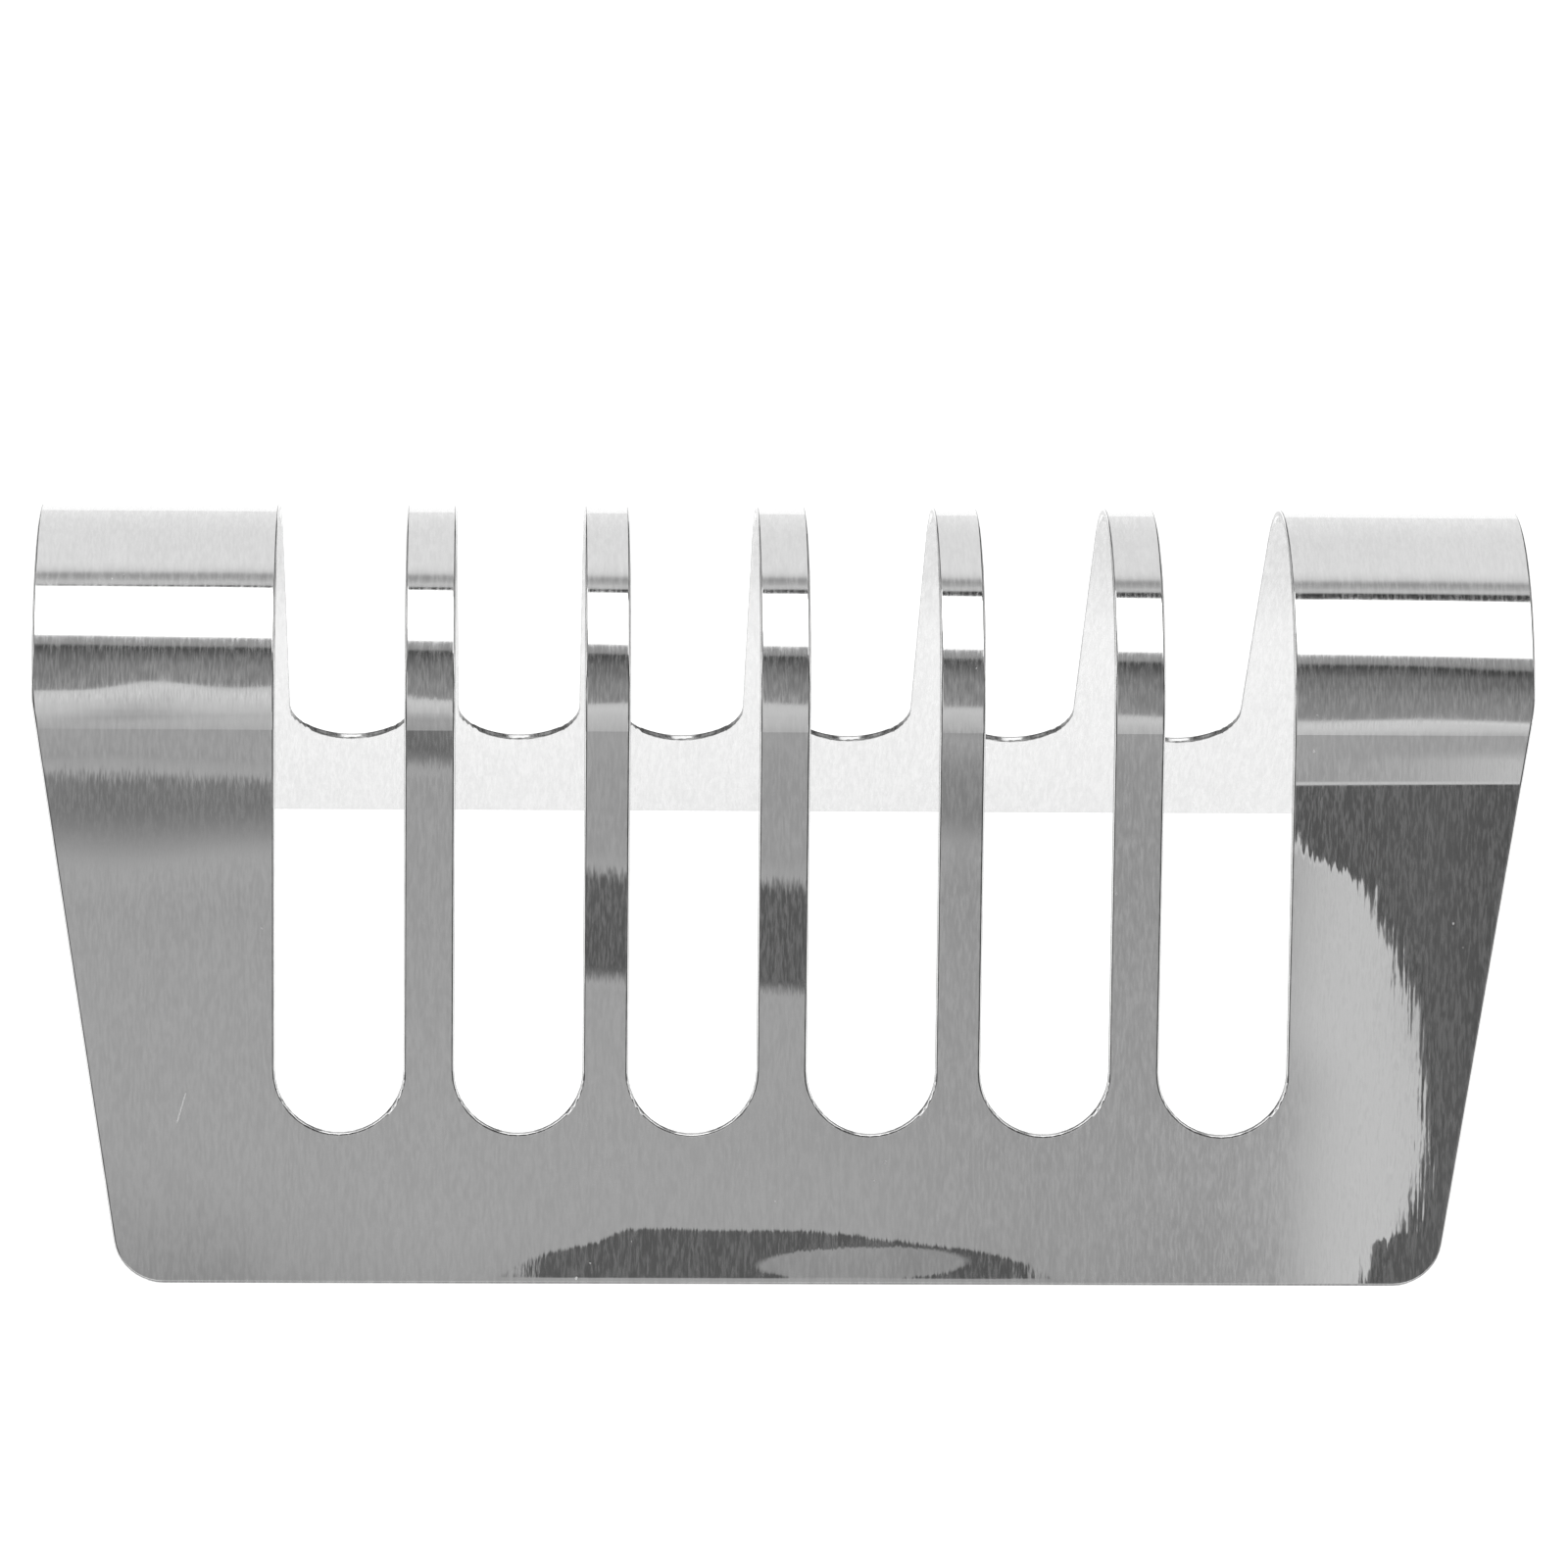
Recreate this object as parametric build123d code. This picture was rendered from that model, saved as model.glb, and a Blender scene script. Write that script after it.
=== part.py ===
from build123d import *
from math import asin, atan2, cos, degrees, hypot, radians, sin, sqrt, tan
import os

# A toast rack made from one sheet of stainless steel. The flat blank is punched with long
# round-ended slots, then bent into a round arch with two flat splayed legs, so the slots run
# down one leg, over the crest and down the other.
# Frame: +X along the rack, +Z up. The rack stands on z = 0, centred on x = 0 and y = 0.

# Overall sizes, mm
rack_length = 180.0
rack_height = 75.5
foot_spread = 100.0  # between the legs' outer faces, at the floor
sheet_thickness = 1.0
crest_radius = 23.5  # outer face of the arch

# Slots, measured along the rack. The fingers between them alternate wide and narrow.
slot_count = 6
slot_width = 15.45
wide_finger = 6.1
narrow_finger = 5.5
slot_end_rise = 18.9  # from the floor to the slot's end, measured up the leg

# Outline of each leg
side_taper = 8.2  # degrees each end leans inwards below the shoulder
shoulder_rise = 3.5  # from the start of the flat leg up to the shoulder
shoulder_radius = 20.0
foot_corner_radius = 6.0

# Finish of the punched edges
edge_radius = 0.35
foot_land = 0.1  # depth ground off the rounded foot edges, so that they stand flat

# How far the cutting shapes run past the sheet
clear = 2.0

# The outer face of each leg is the tangent from its foot to the crest's circle.
crest_z = rack_height - crest_radius
foot_to_crest = hypot(foot_spread / 2, crest_z)
lean = atan2(foot_spread / 2, crest_z) - asin(crest_radius / foot_to_crest)
leg_length = sqrt(foot_to_crest**2 - crest_radius**2)

# The leg's end is square to the sheet, so its inner edge is the lower one. Rounding lifts that
# edge a little, and the floor is then the plane that the land is ground to.
rounding_lift = edge_radius * (cos(lean) + sin(lean) - 1)
end_rise = (sheet_thickness * sin(lean) - rounding_lift - foot_land) / cos(lean)

# The front leg's outer face: local X along the rack, local Y up the leg, local Z outwards.
front_leg = Plane(origin=(0, -foot_spread / 2, 0), x_dir=(1, 0, 0), z_dir=(0, -cos(lean), sin(lean)))


def face_points(radius):
    """Foot, bend line, crest, bend line and foot of one face of the sheet, on the YZ plane."""
    reach = leg_length - end_rise
    bend_y = radius * cos(lean)
    bend_z = crest_z + radius * sin(lean)
    foot_y = bend_y + reach * sin(lean)
    foot_z = bend_z - reach * cos(lean)
    return [(-foot_y, foot_z), (-bend_y, bend_z), (0, crest_z + radius), (bend_y, bend_z), (foot_y, foot_z)]


def bent_sheet():
    """The sheet bent to its profile, at full length, with square edges and no slots."""
    outer = face_points(crest_radius)
    inner = face_points(crest_radius - sheet_thickness)
    outline = Curve()
    for foot, bend, crest, far_bend, far_foot in (outer, inner):
        outline += Line(foot, bend)
        outline += ThreePointArc(bend, crest, far_bend)
        outline += Line(far_bend, far_foot)
    for end in (0, -1):
        outline += Line(outer[end], inner[end])
    profile = Plane.YZ * make_face(outline)
    return extrude(profile, amount=rack_length / 2, both=True)


def leg_waste():
    """What is trimmed off the ends of the front leg, below the shoulders and round the corners."""
    shoulder = leg_length + shoulder_rise
    top = shoulder + shoulder_radius * tan(radians(side_taper)) + clear
    half = rack_length / 2
    foot_half = half - (shoulder - end_rise) * tan(radians(side_taper))
    right_side = [(half, top), (half, shoulder), (foot_half, end_rise)]
    left_side = [(-x, y) for x, y in reversed(right_side)]
    kept = make_face(Polyline(*right_side, *left_side, close=True))
    corners = kept.vertices().group_by(Axis.Y)
    kept = fillet(corners[0], foot_corner_radius)
    shoulders = kept.vertices().filter_by(lambda v: abs(v.Y - shoulder) < sheet_thickness)
    kept = fillet(shoulders, shoulder_radius)
    blank = Pos(0, (top + end_rise) / 2) * Rectangle(rack_length + 2 * clear, top - end_rise)
    depth = sheet_thickness + clear
    return extrude(front_leg * (blank - kept), amount=clear) + extrude(front_leg * (blank - kept), amount=-depth)


def slot_centres():
    """Where each slot lies along the rack."""
    centres = [0.0]
    for finger in range(slot_count - 1):
        bar = narrow_finger if finger % 2 else wide_finger
        centres.append(centres[-1] + slot_width + bar)
    middle = centres[-1] / 2
    return [x - middle for x in centres]


def slot_cutters():
    """One cutter over the crest for each slot, and one for its round end on the front leg."""
    radius = slot_width / 2
    split_z = (slot_end_rise + slot_width) * cos(lean)
    split_rise = split_z / cos(lean) + slot_width
    over_crest = []
    front_ends = []
    for x in slot_centres():
        height = rack_height + clear - split_z
        over_crest.append(Pos(x, 0, split_z + height / 2) * Box(slot_width, foot_spread, height))
        straight = split_rise - slot_end_rise - radius
        hole = Pos(x, slot_end_rise + radius) * Circle(radius)
        hole += Pos(x, slot_end_rise + radius + straight / 2) * Rectangle(slot_width, straight)
        front_ends.append(extrude(front_leg * hole, amount=sheet_thickness + clear, both=True))
    return over_crest, front_ends


def rims(sheet):
    """The sharp edges round the sheet and its slots: not the bend lines or the edges across it."""

    def is_rim(edge):
        along = edge.bounding_box().size.X > edge.length * 0.999
        bend_line = along and edge.center().Z > slot_end_rise / 2
        return edge.length > sheet_thickness * 1.05 and not bend_line

    return sheet.edges().filter_by(is_rim)


def bent_steel_rack():
    """The whole rack: one bent, slotted and edge-rounded sheet."""
    over_crest, front_ends = slot_cutters()
    front_cuts = [leg_waste(), *front_ends]
    back_cuts = [mirror(cut, about=Plane.XZ) for cut in front_cuts]
    sheet = bent_sheet()
    for cut in (*over_crest, *front_cuts, *back_cuts):
        sheet -= cut
    sheet = fillet(rims(sheet), edge_radius)
    below_floor = Pos(0, 0, -clear) * Box(rack_length, foot_spread + 2 * clear, 2 * clear)
    return sheet - below_floor


os.makedirs("parts", exist_ok=True)
rack = bent_steel_rack()
rack.label = "bent_steel_rack"
export_step(rack, "parts/bent_steel_rack.step")
print("leg lean", round(degrees(lean), 3), "degrees; leg length", round(leg_length, 3), "mm")
print("slot centres", [round(x, 3) for x in slot_centres()])
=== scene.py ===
"""Toast rack bent from one sheet of polished steel, shown on a plain white floor under soft studio light.

Everything is in metres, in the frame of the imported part: X runs along the rack, Y goes from front to back and
Z is up. Inside the steel's material, places are in millimetres.
"""

import math

import bpy
from mathutils import Matrix, Vector


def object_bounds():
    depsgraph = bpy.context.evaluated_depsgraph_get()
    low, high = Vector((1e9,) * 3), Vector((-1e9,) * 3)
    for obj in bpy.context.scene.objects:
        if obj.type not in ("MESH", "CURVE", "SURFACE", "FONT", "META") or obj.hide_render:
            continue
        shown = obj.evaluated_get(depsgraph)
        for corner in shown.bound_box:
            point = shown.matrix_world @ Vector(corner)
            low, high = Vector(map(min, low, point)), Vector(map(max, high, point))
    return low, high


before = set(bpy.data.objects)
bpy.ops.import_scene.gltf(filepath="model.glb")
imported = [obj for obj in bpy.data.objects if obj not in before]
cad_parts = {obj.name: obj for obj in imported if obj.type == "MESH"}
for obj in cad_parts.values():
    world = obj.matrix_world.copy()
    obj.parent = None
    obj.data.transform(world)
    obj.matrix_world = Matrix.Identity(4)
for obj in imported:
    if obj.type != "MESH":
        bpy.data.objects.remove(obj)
cad_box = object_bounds()
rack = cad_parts["bent_steel_rack"]

MM = 0.001

# Camera: a long lens, well above the rack and a little to its left, turned a touch about its own axis.
LENS_MM = 185.0
SENSOR_MM = 36.0
CAMERA_DISTANCE = 0.9935
CAMERA_ELEVATION = math.radians(35.36)
CAMERA_YAW = math.radians(2.46)
CAMERA_ROLL = math.radians(1.70)
CAMERA_TARGET = Vector((0.0009, -0.0004, 0.03945))
CAMERA_CLIP_START, CAMERA_CLIP_END = 0.05, 50.0

# Floor: it gives off most of its own light, so that it stays plain white round the rack.
FLOOR_SIZE = 12.0
FLOOR_ALBEDO = 0.25
FLOOR_GLOW = 1.03
FLOOR_ROUGHNESS = 0.9

# The rack's shape, as part.py has it: the crest's middle, how far the legs lean and where they leave the crest.
HALF_SPREAD = 50.0 * MM
CREST_RADIUS = 23.5 * MM
CREST_Z = cad_box[1][2] - CREST_RADIUS
LEAN = math.atan2(HALF_SPREAD, CREST_Z) - math.asin(CREST_RADIUS / math.hypot(HALF_SPREAD, CREST_Z))
BEND_Z = CREST_Z + CREST_RADIUS * math.sin(LEAN)

WHITE = (1.0, 1.0, 1.0, 1.0)


class Net:
    """Builds shader nodes from plain arithmetic. A value is a socket or a number."""

    def __init__(self, tree):
        self.tree = tree
        tree.nodes.clear()

    def node(self, kind, **settings):
        made = self.tree.nodes.new(kind)
        for name, value in settings.items():
            setattr(made, name, value)
        return made

    def feed(self, socket, value):
        if isinstance(value, bpy.types.NodeSocket):
            self.tree.links.new(value, socket)
        else:
            socket.default_value = value

    def math(self, operation, *values):
        made = self.node("ShaderNodeMath", operation=operation)
        for socket, value in zip(made.inputs, values):
            self.feed(socket, value)
        return made.outputs[0]

    def chain(self, operation, values):
        """One operation over any number of values, from left to right."""
        total = values[0]
        for value in values[1:]:
            total = self.math(operation, total, value)
        return total

    def add(self, *values):
        return self.chain("ADD", values)

    def mul(self, *values):
        return self.chain("MULTIPLY", values)

    def largest(self, *values):
        return self.chain("MAXIMUM", values)

    def sub(self, a, b):
        return self.math("SUBTRACT", a, b)

    def absolute(self, value):
        return self.math("ABSOLUTE", value)

    def ramp(self, value, low, high):
        """0 at low, 1 at high, smooth between them. low may be above high."""
        made = self.node("ShaderNodeMapRange", interpolation_type="SMOOTHSTEP")
        self.feed(made.inputs["Value"], value)
        if low < high:
            made.inputs["From Min"].default_value = low
            made.inputs["From Max"].default_value = high
            return made.outputs[0]
        made.inputs["From Min"].default_value = high
        made.inputs["From Max"].default_value = low
        made.inputs["To Min"].default_value = 1.0
        made.inputs["To Max"].default_value = 0.0
        return made.outputs[0]

    def bump_between(self, value, a, b, c, d):
        """Rises from a to b, stays at 1, and falls from c to d."""
        return self.mul(self.ramp(value, a, b), self.ramp(value, d, c))

    def mix(self, share, a, b):
        """a where share is 0 and b where it is 1."""
        made = self.node("ShaderNodeMix", data_type="FLOAT", clamp_factor=True)
        self.feed(made.inputs[0], share)
        self.feed(made.inputs[2], a)
        self.feed(made.inputs[3], b)
        return made.outputs[0]

    def curve(self, value, low, high, stops):
        """A brightness that follows stops, pairs of a place between low and high and a level."""
        made = self.node("ShaderNodeValToRGB")
        elements = made.color_ramp.elements
        while len(elements) > 1:
            elements.remove(elements[-1])
        top = max(level for _, level in stops)
        for index, (place, level) in enumerate(stops):
            position = (place - low) / (high - low)
            element = elements[0] if index == 0 else elements.new(position)
            element.position = position
            element.color = (level / top,) * 3 + (1.0,)
        share = self.mul(self.sub(value, low), 1.0 / (high - low))
        self.feed(made.inputs[0], share)
        return self.mul(made.outputs[0], top)

    def signed(self, value, size):
        """A noise value turned into one between about -size and size."""
        return self.mul(self.sub(value, 0.5), 2.0 * size)

    def parts(self, vector):
        """The X, Y and Z of a vector."""
        made = self.node("ShaderNodeSeparateXYZ")
        self.feed(made.inputs[0], vector)
        return tuple(made.outputs)

    def vector(self, operation, *values, scale=None):
        made = self.node("ShaderNodeVectorMath", operation=operation)
        for socket, value in zip(made.inputs, values):
            self.feed(socket, value)
        if scale is not None:
            self.feed(made.inputs["Scale"], scale)
        return made.outputs["Value" if operation == "DOT_PRODUCT" else "Vector"]


# ---------------------------------------------------------------- camera

def make_camera():
    forward = Vector((
        math.sin(CAMERA_YAW) * math.cos(CAMERA_ELEVATION),
        math.cos(CAMERA_YAW) * math.cos(CAMERA_ELEVATION),
        -math.sin(CAMERA_ELEVATION),
    ))
    level_right = Vector((math.cos(CAMERA_YAW), -math.sin(CAMERA_YAW), 0.0))
    level_up = level_right.cross(forward)
    right = math.cos(CAMERA_ROLL) * level_right + math.sin(CAMERA_ROLL) * level_up
    up = math.cos(CAMERA_ROLL) * level_up - math.sin(CAMERA_ROLL) * level_right
    data = bpy.data.cameras.new("camera")
    data.lens = LENS_MM
    data.sensor_width = SENSOR_MM
    data.clip_start = CAMERA_CLIP_START
    data.clip_end = CAMERA_CLIP_END
    camera = bpy.data.objects.new("camera", data)
    turn = Matrix((right, up, -forward)).transposed().to_4x4()
    camera.matrix_world = Matrix.Translation(CAMERA_TARGET - forward * CAMERA_DISTANCE) @ turn
    bpy.context.scene.collection.objects.link(camera)
    bpy.context.scene.camera = camera


# ---------------------------------------------------------------- floor

def make_floor():
    """A white floor that can be seen only from above."""
    half = FLOOR_SIZE / 2
    corners = [(-half, -half, 0), (half, -half, 0), (half, half, 0), (-half, half, 0)]
    mesh = bpy.data.meshes.new("floor")
    mesh.from_pydata(corners, [], [(0, 1, 2, 3)])
    floor = bpy.data.objects.new("floor", mesh)
    bpy.context.scene.collection.objects.link(floor)

    material = bpy.data.materials.new("lit_white_floor")
    material.use_nodes = True
    net = Net(material.node_tree)
    white = net.node("ShaderNodeBsdfPrincipled")
    white.inputs["Base Color"].default_value = (FLOOR_ALBEDO, FLOOR_ALBEDO, FLOOR_ALBEDO, 1.0)
    white.inputs["Roughness"].default_value = FLOOR_ROUGHNESS
    white.inputs["Specular IOR Level"].default_value = 0.0
    white.inputs["Emission Color"].default_value = WHITE
    white.inputs["Emission Strength"].default_value = FLOOR_GLOW
    clear = net.node("ShaderNodeBsdfTransparent")
    from_above = net.node("ShaderNodeMixShader")
    net.feed(from_above.inputs[0], net.node("ShaderNodeNewGeometry").outputs["Backfacing"])
    net.feed(from_above.inputs[1], white.outputs[0])
    net.feed(from_above.inputs[2], clear.outputs[0])
    net.feed(net.node("ShaderNodeOutputMaterial").inputs["Surface"], from_above.outputs[0])
    floor.data.materials.append(material)


# ---------------------------------------------------------------- studio

# The studio as the rack sees it, in degrees. The pitch runs from the front horizon (0) over the top (90) to the
# back horizon (180), and the side from the left (-90) to the right (90). The panels aren't quite parallel to the
# rack, so their edges drop towards the right: a skew is how many degrees an edge drops for a degree to the side.
PANELS_LEFT, PANELS_RIGHT = -10.0, 7.5  # the edges drop only between these
LEFT_END = -2.4  # the side at which the edges have the pitches given here
STRIP_BACK, STRIP_SKEW = 38.0, 1.62
SOFTBOX_FRONT, SOFTBOX_FRONT_SKEW = 69.7, 0.90
SOFTBOX_BACK, SOFTBOX_BACK_SKEW = 102.2, 0.54
GAP_BACK, GAP_SKEW = 103.5, 0.15
CEILING_SKEW = 0.20

# Brightness of the even panels.
SOFTBOX_LEVEL = 2.2
GAP_LEVEL = 0.05
REFLECTOR_LEVEL = 0.76
DARKNESS_LEVEL = 0.11
BACKDROP_LEVEL = 1.05  # what the camera sees round the rack

# Brightness of the other panels, as pairs of an angle and a level. The first two and the ceiling are over the
# pitch, the black card over the angle up to the softbox, and the side walls over the height above the floor.
FRONT_WALL = (
    (-90, 1.0), (1.5, 1.0), (3.0, 0.12), (8.8, 0.12), (10.0, 0.31), (10.9, 0.45), (11.8, 0.50), (13.2, 0.43),
    (14.4, 0.40), (15.4, 0.45), (18.0, 0.50), (270, 0.50),
)
LIGHT_STRIP = ((15, 0.45), (17, 0.46), (19.5, 0.56), (23, 0.68), (30, 0.78), (40, 0.80), (60, 0.80))
BLACK_CARD = (
    (-40, 0.33), (-24, 0.30), (-19, 0.27), (-13, 0.19), (-8.5, 0.11), (-6, 0.06), (-5.8, 0.36), (0, 0.40),
    (1, 0.40),
)
CEILING = (
    (100, 0.62), (104, 0.62), (106, 0.66), (108, 0.50), (110.5, 0.41), (112, 0.50), (114, 0.78), (117, 0.90),
    (121, 0.95), (150, 0.94), (180, 1.02), (190, 1.15), (270, 1.2),
)
SIDE_WALL = (
    (-90, 0.95), (-4, 0.95), (0, 0.50), (12, 0.36), (26, 0.46), (33, 0.80), (44, 0.92), (47, 0.34), (57, 0.20),
    (59, 1.9), (77, 1.9), (79, 0.45), (82, 0.80), (90, 0.9),
)


def make_studio():
    world = bpy.data.worlds.new("studio")
    bpy.context.scene.world = world
    world.use_nodes = True
    net = Net(world.node_tree)
    x, y, z = net.parts(net.node("ShaderNodeTexCoord").outputs["Generated"])
    degrees = 180.0 / math.pi
    turned = net.mul(net.math("ARCTAN2", z, net.mul(y, -1.0)), degrees)
    pitch = net.add(turned, net.mul(net.math("LESS_THAN", turned, -90.0), 360.0))
    side = net.mul(net.math("ARCSINE", x), degrees)
    near_side = net.math("MINIMUM", net.largest(side, PANELS_LEFT), PANELS_RIGHT)
    along = net.sub(near_side, LEFT_END)

    def past(edge, skew, soft=0.5):
        """How many degrees the ray is beyond an edge, and a share of 0 before it and 1 beyond it."""
        far = net.sub(net.add(pitch, net.mul(along, skew)), edge)
        return far, net.ramp(far, -soft, soft)

    # Low in front: the wall over a black card, and a light reflector at the right with darkness beyond it.
    level = net.curve(pitch, -90.0, 270.0, FRONT_WALL)
    level = net.mul(level, net.mix(net.ramp(side, 2.2, 3.2), 1.03, 0.90))
    low = net.bump_between(pitch, 2.0, 5.0, 14.8, 16.2)
    level = net.mix(net.mul(low, net.ramp(side, 5.9, 6.9)), level, REFLECTOR_LEVEL)
    level = net.mix(net.mul(low, net.ramp(side, 10.0, 10.8)), level, DARKNESS_LEVEL)

    # The light strip, brightest along its back edge at the right, then the black card and the softbox's grey rim.
    strip_far, card_starts = past(STRIP_BACK, STRIP_SKEW, 0.35)
    strip_edge = net.mul(net.ramp(strip_far, -4.0, -1.0), net.ramp(side, 3.0, 6.4), 0.32)
    strip = net.add(net.curve(pitch, 15.0, 60.0, LIGHT_STRIP), strip_edge)
    level = net.mix(net.ramp(pitch, 15.2, 17.0), level, strip)
    box_far, box_starts = past(SOFTBOX_FRONT, SOFTBOX_FRONT_SKEW, 0.4)
    level = net.mix(card_starts, level, net.curve(box_far, -40.0, 1.0, BLACK_CARD))

    # The softbox overhead, a dark gap behind it that widens to the right, and the white ceiling.
    level = net.mix(box_starts, level, SOFTBOX_LEVEL)
    _, gap_starts = past(SOFTBOX_BACK, SOFTBOX_BACK_SKEW, 0.3)
    level = net.mix(gap_starts, level, GAP_LEVEL)
    _, ceiling_starts = past(GAP_BACK, GAP_SKEW)
    ceiling = net.curve(net.add(pitch, net.mul(along, CEILING_SKEW)), 100.0, 270.0, CEILING)
    level = net.mix(ceiling_starts, level, ceiling)

    # Past the ends of the panels there is a dark gap, deeper on the right, and then the panels of the side walls.
    from_middle = net.absolute(side)
    height = net.sub(90.0, net.absolute(net.sub(pitch, 90.0)))
    on_right = net.ramp(side, -10.0, 10.0)
    gap = net.bump_between(from_middle, 15.0, 18.0, 26.0, 34.0)
    wall = net.mul(net.curve(height, -90.0, 90.0, SIDE_WALL), net.mix(on_right, 1.0, 0.85))
    wall = net.mul(wall, net.mix(gap, 1.0, net.mix(on_right, 0.65, 0.35)))
    level = net.mix(net.ramp(from_middle, 15.0, 19.0), level, wall)

    level = net.mix(net.node("ShaderNodeLightPath").outputs["Is Camera Ray"], level, BACKDROP_LEVEL)
    shade = net.node("ShaderNodeBackground")
    shade.inputs["Color"].default_value = WHITE
    net.feed(shade.inputs["Strength"], level)
    net.feed(net.node("ShaderNodeOutputWorld").inputs["Surface"], shade.outputs[0])


# ---------------------------------------------------------------- steel

STEEL_COLOUR = 0.72
STEEL_ROUGHNESS = 0.065
STEEL_ANISOTROPY = 0.7
SMOOTHEST = 0.04  # the roughness never goes below this
HAIRLINE_DEPTH = 0.0006 * MM
MARK_COLOUR = 0.9

# A rough clear layer that follows the hairlines, so that they show in dark reflections.
COAT_ROUGHNESS = 0.45
COAT_IOR = 1.7

# How steeply the surface tilts where the sheet isn't flat, in radians.
SLOW_TILT = 0.010
SWAY_TILT = 0.006
WAVE_TILT = 0.07
LEFT_WAVE_TILT = 0.16  # added to the waves at the left end
RIPPLE_TILT = 0.044
SPRINGBACK_TILT = 0.006
RIGHT_SPRINGBACK_TILT = 0.016
LEFT_DIP_TILT = 0.040
DIP_TILT = 0.046
QUICK_CURL_TILT = 0.062
SLOW_CURL = 0.0012  # radians for each millimetre

# Places in millimetres. A pair is where something starts and where it is complete. A span of four rises over
# its first two numbers and falls over its last two.
RIPPLES_Z = (62.0, 64.2, 66.5, 69.5)
FAR_LEFT_X = (-46.0, -64.0)
SPRINGBACK_Z = (57.5, 60.8, 61.6, 64.0)
RIGHT_END_X = (54.0, 60.0)
LEFT_DIP_Z = (42.0, 54.0, 55.4, 59.2)
LEFT_DIP_X = (-56.0, -62.0)
DRAWN_Z = (64.0, 65.6, 69.0, 70.5)  # where bending drew the grain out
INNER_CREST_Z = (40.0, 60.0)

# The dip along the front foot, and the patch in it that stays flat.
FOOT_DIP_HALF_LENGTH = 31.0
FOOT_DIP_TOP_Z = (6.5, 5.7)
FOOT_DIP_BOTTOM_Z = (0.85, 1.15)
PATCH_X, PATCH_Z = 10.0, 2.6
PATCH_HALF_LENGTH, PATCH_HALF_HEIGHT = 14.0, 2.1
PATCH_SHARE = 0.85  # how much of the dip it takes away

# The curl at the right-hand end of the front leg. Its quick part starts along a curved line, which stands
# furthest to the right at its middle's height.
CURL_TOP_Z = (56.9, 55.9)
CURL_X = (58.0, 60.5)
SLOW_CURL_X = 60.0
QUICK_CURL_X = (77.0, 80.4)
QUICK_CURL_MIDDLE_Z = 19.0
QUICK_CURL_BOW = 0.0122  # millimetres for each square millimetre from the middle

# The dips in the fingers of the front leg: the span across, the span up and the size.
FINGER_DIPS = (
    ((-49.0, -47.0, -36.0, -34.0), (53.0, 57.5, 61.0, 63.5), 1.15),
    ((-28.0, -24.0, 3.0, 6.0), (31.5, 35.0, 43.5, 47.5), 1.0),
    ((14.0, 17.0, 27.0, 30.0), (45.0, 54.5, 61.5, 64.5), 0.76),
)

# The scratch on the front leg: its middle, half its length, how far it leans and its soft edge.
SCRATCH_X, SCRATCH_Z = -72.2, 19.95
SCRATCH_HALF_LENGTH = 1.9
SCRATCH_LEAN = 0.6
SCRATCH_EDGE = (0.14, 0.06)

# Share of the colour lost to painted shade: on the cut walls, on a thin line at the rims, as a painted contact
# shadow along the bottom, and inside the crest. All but the inside of the crest are made rougher as well.
END_WALL_PAINTED_SHADE = 0.35  # cut walls that face up or down the sheet
SIDE_WALL_PAINTED_SHADE = 0.82  # cut walls that face along X
RIM_PAINTED_SHADE = 0.85
FOOT_PAINTED_SHADOW = 0.45
FLOOR_LINE_PAINTED_SHADOW = 0.40  # added to the foot's right beside the floor
INNER_CREST_PAINTED_SHADE = 0.15


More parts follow.
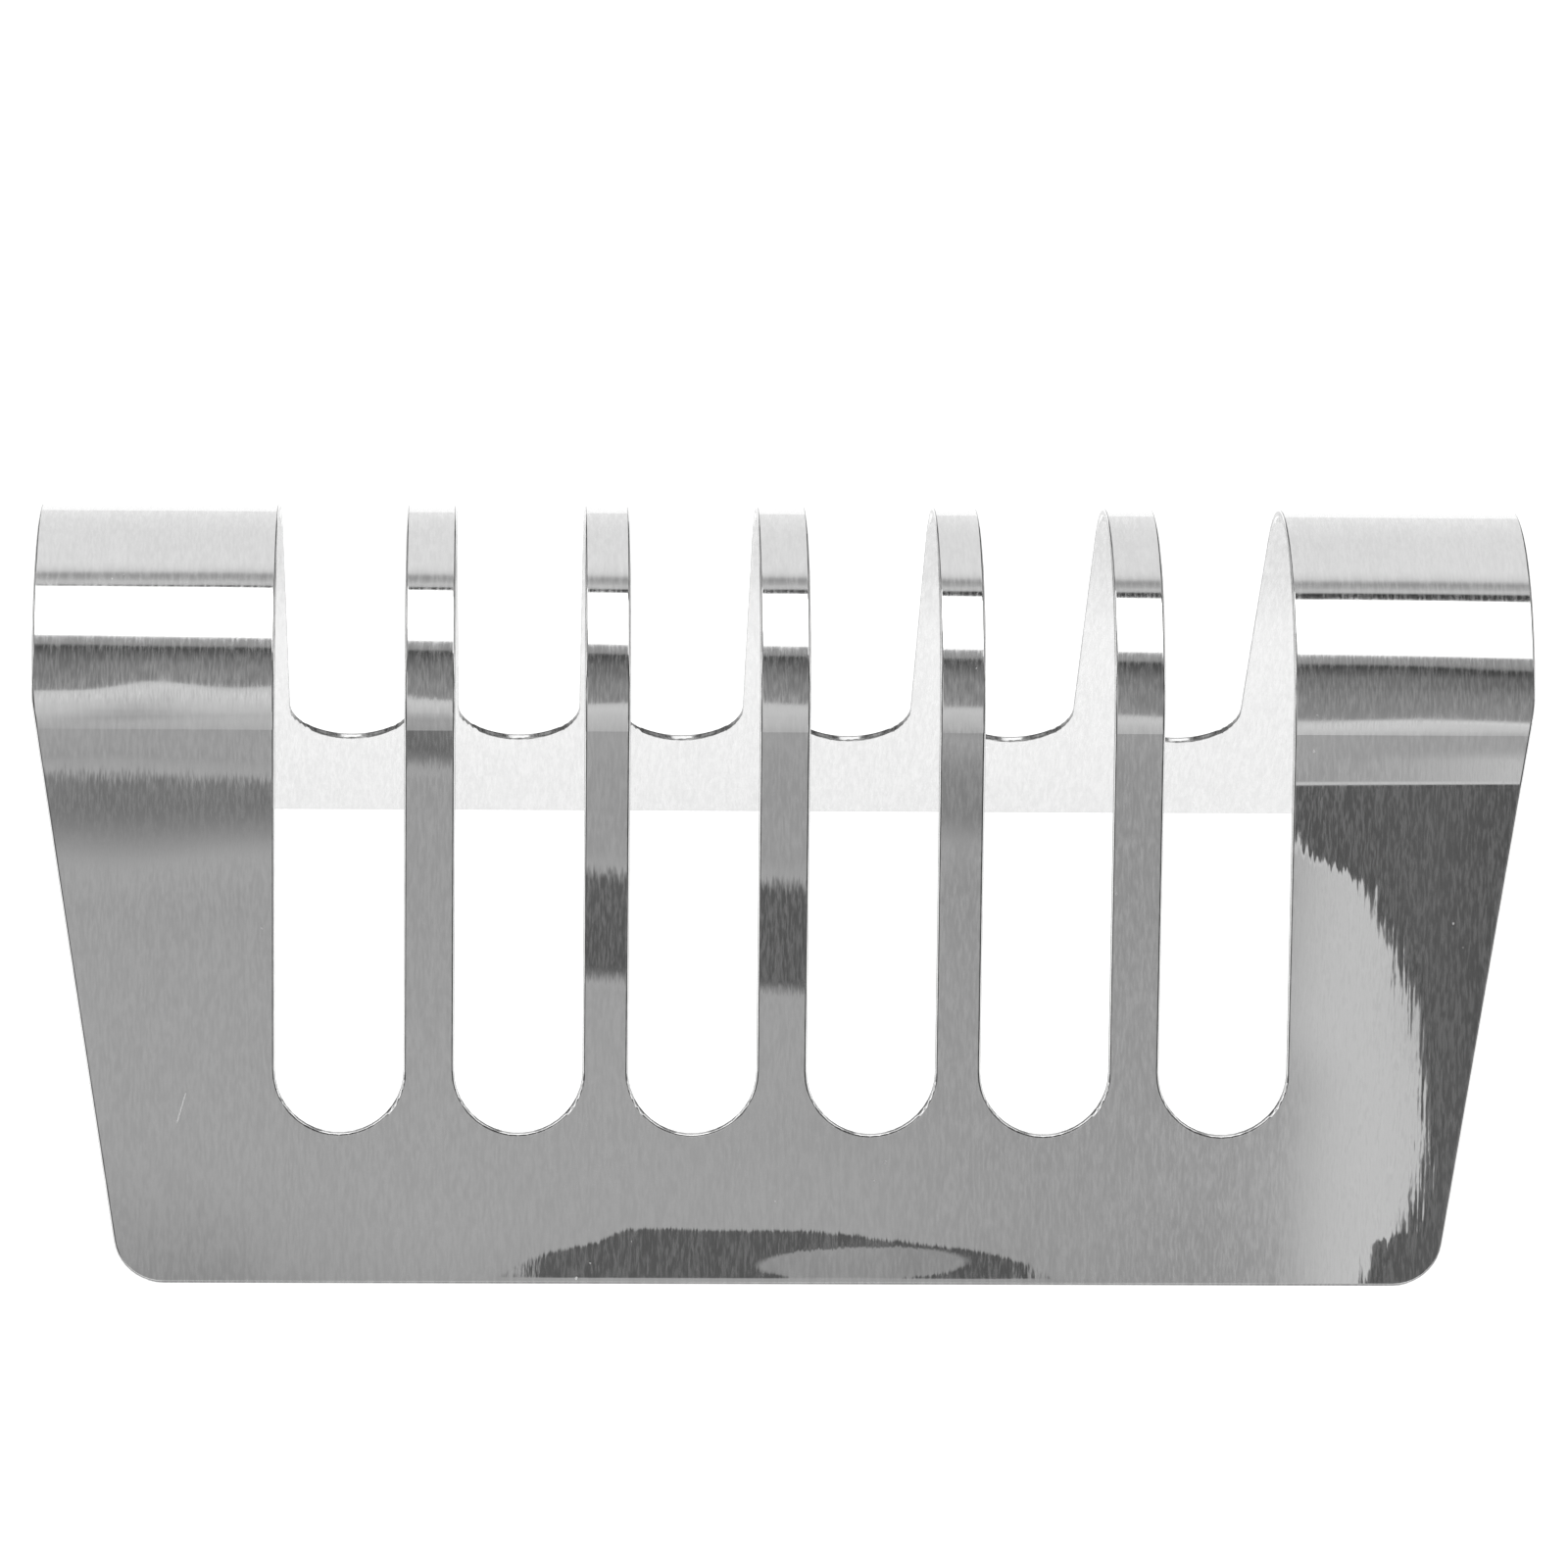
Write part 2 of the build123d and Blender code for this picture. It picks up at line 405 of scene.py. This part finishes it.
class Sheet(Net):
    """The steel's shader nodes, with the places, noises and directions that several of its parts use."""

    def __init__(self, tree):
        super().__init__(tree)
        self.place = self.node("ShaderNodeTexCoord").outputs["Object"]
        self.x, self.y, self.z = (self.mul(part, 1.0 / MM) for part in self.parts(self.place))
        self.in_front = self.math("LESS_THAN", self.y, 0.0)

        # The hairlines run up the legs and over the crest, so these are fine across X and long up the sheet.
        self.fine = self.noise((4300.0, 640.0, 640.0), detail=1.0, roughness=0.6, seed=1.0)
        self.coarse = self.noise((1900.0, 240.0, 240.0), detail=2.0, roughness=0.6, seed=2.0)
        self.hair = self.noise((2200.0, 95.0, 95.0), detail=1.0, roughness=0.6, seed=9.0)
        self.streak = self.add(self.signed(self.coarse, 0.5), self.signed(self.fine, 0.9))

        # Broad changes of tone and of slope.
        self.cloud = self.noise((60.0, 60.0, 60.0), detail=2.0, seed=3.0)
        self.slow = self.noise((30.0, 38.0, 38.0), detail=1.0, seed=4.0)
        self.sway = self.noise((24.0, 20.0, 20.0), detail=0.0, seed=5.0)
        self.ripple = self.noise((20.0, 420.0, 420.0), detail=2.0, roughness=0.55, seed=6.0)
        self.wave = self.noise((36.0, 60.0, 60.0), detail=1.0, seed=7.0)

        # facing is 1 on the outer face, -1 on the inner one and about 0 on a cut wall.
        self.normal = self.node("ShaderNodeNewGeometry").outputs["Normal"]
        self.facing = self.vector("DOT_PRODUCT", self.normal, self.outwards())
        self.flat = self.absolute(self.facing)
        along_x = self.node("ShaderNodeCombineXYZ")
        along_x.inputs[0].default_value = 1.0
        self.along_x = along_x.outputs[0]

    def noise(self, cycles, detail, seed, roughness=0.5):
        """Noise in the object's frame, with so many cycles to the metre along X, Y and Z."""
        moved = self.node("ShaderNodeVectorMath", operation="MULTIPLY_ADD")
        self.feed(moved.inputs[0], self.place)
        moved.inputs[1].default_value = cycles
        moved.inputs[2].default_value = (17.3 * seed, 9.1 * seed, 5.7 * seed)
        made = self.node("ShaderNodeTexNoise", noise_dimensions="3D")
        self.feed(made.inputs["Vector"], moved.outputs[0])
        made.inputs["Scale"].default_value = 1.0
        made.inputs["Detail"].default_value = detail
        made.inputs["Roughness"].default_value = roughness
        return made.outputs["Fac"]

    def outwards(self):
        """The direction square to the sheet's face, worked out from the rack's shape."""
        over = self.sub(self.z, CREST_Z / MM)
        reach = self.math("SQRT", self.add(self.mul(self.y, self.y), self.mul(over, over)))
        on_crest = self.ramp(self.z, BEND_Z / MM - 0.2, BEND_Z / MM + 0.2)
        leg_y = self.mul(self.math("SIGN", self.y), math.cos(LEAN))
        made = self.node("ShaderNodeCombineXYZ")
        self.feed(made.inputs[1], self.mix(on_crest, leg_y, self.math("DIVIDE", self.y, reach)))
        self.feed(made.inputs[2], self.mix(on_crest, math.sin(LEAN), self.math("DIVIDE", over, reach)))
        return made.outputs[0]


def bending_tilt(net):
    """The sheet ripples where it was bent, more so at the left end, and waves a little elsewhere."""
    near_bend = net.bump_between(net.z, *RIPPLES_Z)
    far_left = net.ramp(net.x, *FAR_LEFT_X)
    wave_size = net.add(WAVE_TILT, net.mul(far_left, LEFT_WAVE_TILT))
    waves = net.add(net.mul(net.signed(net.wave, 1.0), wave_size), net.signed(net.ripple, RIPPLE_TILT))
    right_end = net.ramp(net.x, *RIGHT_END_X)
    springback = net.mix(right_end, SPRINGBACK_TILT, RIGHT_SPRINGBACK_TILT)
    springback = net.mul(net.bump_between(net.z, *SPRINGBACK_Z), springback)
    return net.add(net.signed(net.slow, SLOW_TILT), net.mul(near_bend, waves), springback)


def left_dip(net):
    """Below the bend the left end dips a little, with a streaky edge."""
    dip_z = net.add(net.z, net.mul(net.streak, 1.2), net.signed(net.wave, 3.0))
    return net.mul(net.ramp(net.x, *LEFT_DIP_X), net.bump_between(dip_z, *LEFT_DIP_Z))


def foot_dip(net):
    """The lower edge of the front leg turns in a touch at the middle, but for a patch inside that stays flat."""
    span = net.mul(net.absolute(net.x), 1.0 / FOOT_DIP_HALF_LENGTH)
    # The dip's upper edge is straight in the middle, lower at both ends, and a little streaky and wavy.
    rim = net.add(
        net.z,
        net.mul(net.math("POWER", span, 6.0), 2.2),
        net.mul(net.ramp(net.x, -18.5, -22.5), 1.2),
        net.mul(net.ramp(net.x, 2.0, 27.0), 2.0),
        net.mul(net.streak, 0.5),
        net.signed(net.wave, 0.7),
    )
    ends = net.ramp(net.add(span, net.mul(net.streak, 0.14)), 1.08, 0.84)
    dip = net.mul(net.ramp(net.z, *FOOT_DIP_BOTTOM_Z), net.ramp(rim, *FOOT_DIP_TOP_Z), ends)

    patch_x = net.mul(net.sub(net.x, PATCH_X), 1.0 / PATCH_HALF_LENGTH)
    patch_middle_z = net.add(PATCH_Z, net.mul(patch_x, 0.3))
    streaky_z = net.add(net.z, net.mul(net.streak, 0.5))
    patch_z = net.mul(net.sub(streaky_z, patch_middle_z), 1.0 / PATCH_HALF_HEIGHT)
    patch = net.ramp(net.add(net.mul(patch_x, patch_x), net.mul(patch_z, patch_z)), 1.1, 0.7)
    return net.mul(dip, net.sub(1.0, net.mul(patch, PATCH_SHARE)))


def finger_dips(net):
    """Four fingers of the front leg have a shallow dip: the two in the middle are in one span."""
    streaky_z = net.add(net.z, net.mul(net.streak, 1.2), net.mul(net.x, 0.06))
    return net.add(*(
        net.mul(net.bump_between(net.x, *across), net.bump_between(streaky_z, *up), size)
        for across, up, size in FINGER_DIPS
    ))


def end_curl(net):
    """The right-hand end of the front leg curls back: a slow curl, then a quick one along a curved line."""
    leg_end = net.mul(net.in_front, net.ramp(net.z, *CURL_TOP_Z), net.ramp(net.x, *CURL_X))
    early = net.mul(net.ramp(net.z, 21.0, 31.0), 6.0)
    slow = net.mul(net.largest(net.sub(net.add(net.x, early), SLOW_CURL_X), 0.0), SLOW_CURL)
    off_middle = net.sub(net.z, QUICK_CURL_MIDDLE_Z)
    reach = net.add(
        net.x,
        net.mul(off_middle, off_middle, QUICK_CURL_BOW),
        net.mul(net.ramp(net.z, 45.0, 49.5), 5.5),
        net.mul(net.ramp(net.z, 6.6, 4.8), 3.5),
        net.signed(net.hair, 3.4),
        net.signed(net.fine, 1.2),
    )
    quick = net.mul(net.ramp(reach, *QUICK_CURL_X), QUICK_CURL_TILT)
    return net.mul(leg_end, net.add(slow, quick))


def tilted_normal(net):
    """The surface's direction, tilted where the sheet isn't flat and grooved by the hairlines."""
    front_dips = net.add(
        net.mul(left_dip(net), LEFT_DIP_TILT),
        net.mul(net.add(foot_dip(net), finger_dips(net)), DIP_TILT),
    )
    up_tilt = net.sub(bending_tilt(net), net.mul(net.in_front, front_dips))
    side_tilt = net.add(net.signed(net.sway, SWAY_TILT), end_curl(net))
    up_sheet = net.vector("CROSS_PRODUCT", net.normal, net.along_x)
    on_face = net.ramp(net.flat, 0.8, 0.95)
    normal = net.normal
    for direction, tilt in ((up_sheet, up_tilt), (net.along_x, side_tilt)):
        step = net.vector("SCALE", direction, scale=net.mul(tilt, on_face))
        normal = net.vector("ADD", normal, step)
    bump = net.node("ShaderNodeBump")
    bump.inputs["Strength"].default_value = 1.0
    bump.inputs["Distance"].default_value = HAIRLINE_DEPTH
    net.feed(bump.inputs["Height"], net.add(net.mul(net.fine, 0.6), net.coarse))
    net.feed(bump.inputs["Normal"], net.vector("NORMALIZE", normal))
    return bump.outputs[0]


def painted_shade_and_rough_places(net):
    """Painted shade on the cut walls, a thin line of painted dark reflection where the rounded rim meets the
    face, and a painted contact shadow where the sheet meets the floor; these places are rougher as well.
    """
    # Painted shade on the cut walls, deeper on the walls that face along X.
    sideways = net.ramp(net.absolute(net.parts(net.normal)[0]), 0.16, 0.34)
    wall_painted_shade = net.mix(sideways, END_WALL_PAINTED_SHADE, SIDE_WALL_PAINTED_SHADE)
    cut_wall_shade = net.mul(net.ramp(net.flat, 0.56, 0.42), wall_painted_shade)
    # A thin line of painted dark reflection where the rounded rim meets the face.
    rim_shade_line = net.mul(net.bump_between(net.facing, 0.84, 0.90, 0.965, 0.99), RIM_PAINTED_SHADE)
    # A painted contact shadow along the lowest half millimetre, darkest right beside the floor, on the outside
    # face and the cut walls.
    foot_shadow = net.mul(net.ramp(net.z, 0.56, 0.46), FOOT_PAINTED_SHADOW)
    floor_shadow_line = net.mul(net.ramp(net.z, 0.33, 0.26), FLOOR_LINE_PAINTED_SHADOW)
    foot_shadow_line = net.mul(net.add(foot_shadow, floor_shadow_line), net.ramp(net.facing, -0.3, 0.0))
    return net.largest(cut_wall_shade, rim_shade_line, foot_shadow_line)


def worn_marks(net):
    """One short scratch low on the left of the front leg, and a few specks."""
    along = net.mul(net.sub(net.z, SCRATCH_Z), 1.0 / SCRATCH_HALF_LENGTH)
    across = net.absolute(net.sub(net.x, net.add(SCRATCH_X, net.mul(along, SCRATCH_LEAN))))
    scratch = net.mul(net.in_front, net.ramp(across, *SCRATCH_EDGE), net.ramp(net.absolute(along), 1.0, 0.8))
    grit = net.noise((1500.0, 1500.0, 1500.0), detail=0.0, seed=8.0)
    specks = net.mul(net.ramp(grit, 0.85, 0.88), net.ramp(net.cloud, 0.58, 0.64))
    return net.largest(scratch, specks)


def steel_tone(net, painted_shade_and_rough, marks):
    """The steel's grey, with the grain in it, with painted shade inside the crest, and with the painted shade and
    painted contact shadow of the cut walls, rims and bottom edge.
    """
    drawn = net.mul(net.in_front, net.bump_between(net.z, *DRAWN_Z))
    grain = net.mul(net.signed(net.fine, 1.0), net.mix(drawn, 0.055, 0.20))
    tone = net.add(STEEL_COLOUR, grain, net.signed(net.coarse, 0.035), net.signed(net.cloud, 0.02))
    # The grey is darkened by painted shade on the inside face of the crest, and by the painted shade on the cut
    # walls and rims and the painted contact shadow along the bottom.
    inner_crest_shade = net.mul(net.ramp(net.facing, -0.5, -0.9), net.ramp(net.z, *INNER_CREST_Z))
    tone = net.mul(tone, net.sub(1.0, net.mul(inner_crest_shade, INNER_CREST_PAINTED_SHADE)), net.sub(1.0, painted_shade_and_rough))
    return net.mix(marks, tone, MARK_COLOUR)


def steel_roughness(net, painted_shade_and_rough, marks):
    hairs = net.mul(net.ramp(net.fine, 0.40, 0.66), net.ramp(net.coarse, 0.25, 0.60))
    rough = net.add(
        STEEL_ROUGHNESS,
        net.mul(hairs, 0.035),
        net.signed(net.cloud, 0.012),
        net.mul(painted_shade_and_rough, 0.10),
        net.mul(marks, 0.4),
    )
    return net.largest(rough, SMOOTHEST)


def make_steel():
    material = bpy.data.materials.new("polished_steel")
    material.use_nodes = True
    net = Sheet(material.node_tree)
    # A mask of painted shade on the cut walls and rims and of a painted contact shadow along the bottom edge; it
    # darkens the grey and makes these places rougher.
    painted_shade_and_rough = painted_shade_and_rough_places(net)
    marks = worn_marks(net)
    steel = net.node("ShaderNodeBsdfPrincipled")
    steel.inputs["Metallic"].default_value = 1.0
    steel.inputs["Anisotropic"].default_value = STEEL_ANISOTROPY
    steel.inputs["Coat Roughness"].default_value = COAT_ROUGHNESS
    steel.inputs["Coat IOR"].default_value = COAT_IOR
    grey = net.node("ShaderNodeCombineColor")
    tone = steel_tone(net, painted_shade_and_rough, marks)
    for socket in grey.inputs[:3]:
        net.feed(socket, tone)
    net.feed(steel.inputs["Base Color"], grey.outputs[0])
    net.feed(steel.inputs["Roughness"], steel_roughness(net, painted_shade_and_rough, marks))
    hairs = net.add(net.mul(net.fine, 0.6), net.mul(net.coarse, 0.4))
    net.feed(steel.inputs["Coat Weight"], net.ramp(hairs, 0.44, 0.58))
    net.feed(steel.inputs["Normal"], tilted_normal(net))
    net.feed(steel.inputs["Tangent"], net.along_x)
    net.feed(net.node("ShaderNodeOutputMaterial").inputs["Surface"], steel.outputs[0])
    rack.material_slots[0].material = material


make_camera()
make_floor()
make_studio()
make_steel()
bpy.context.scene.view_settings.view_transform = "Standard"
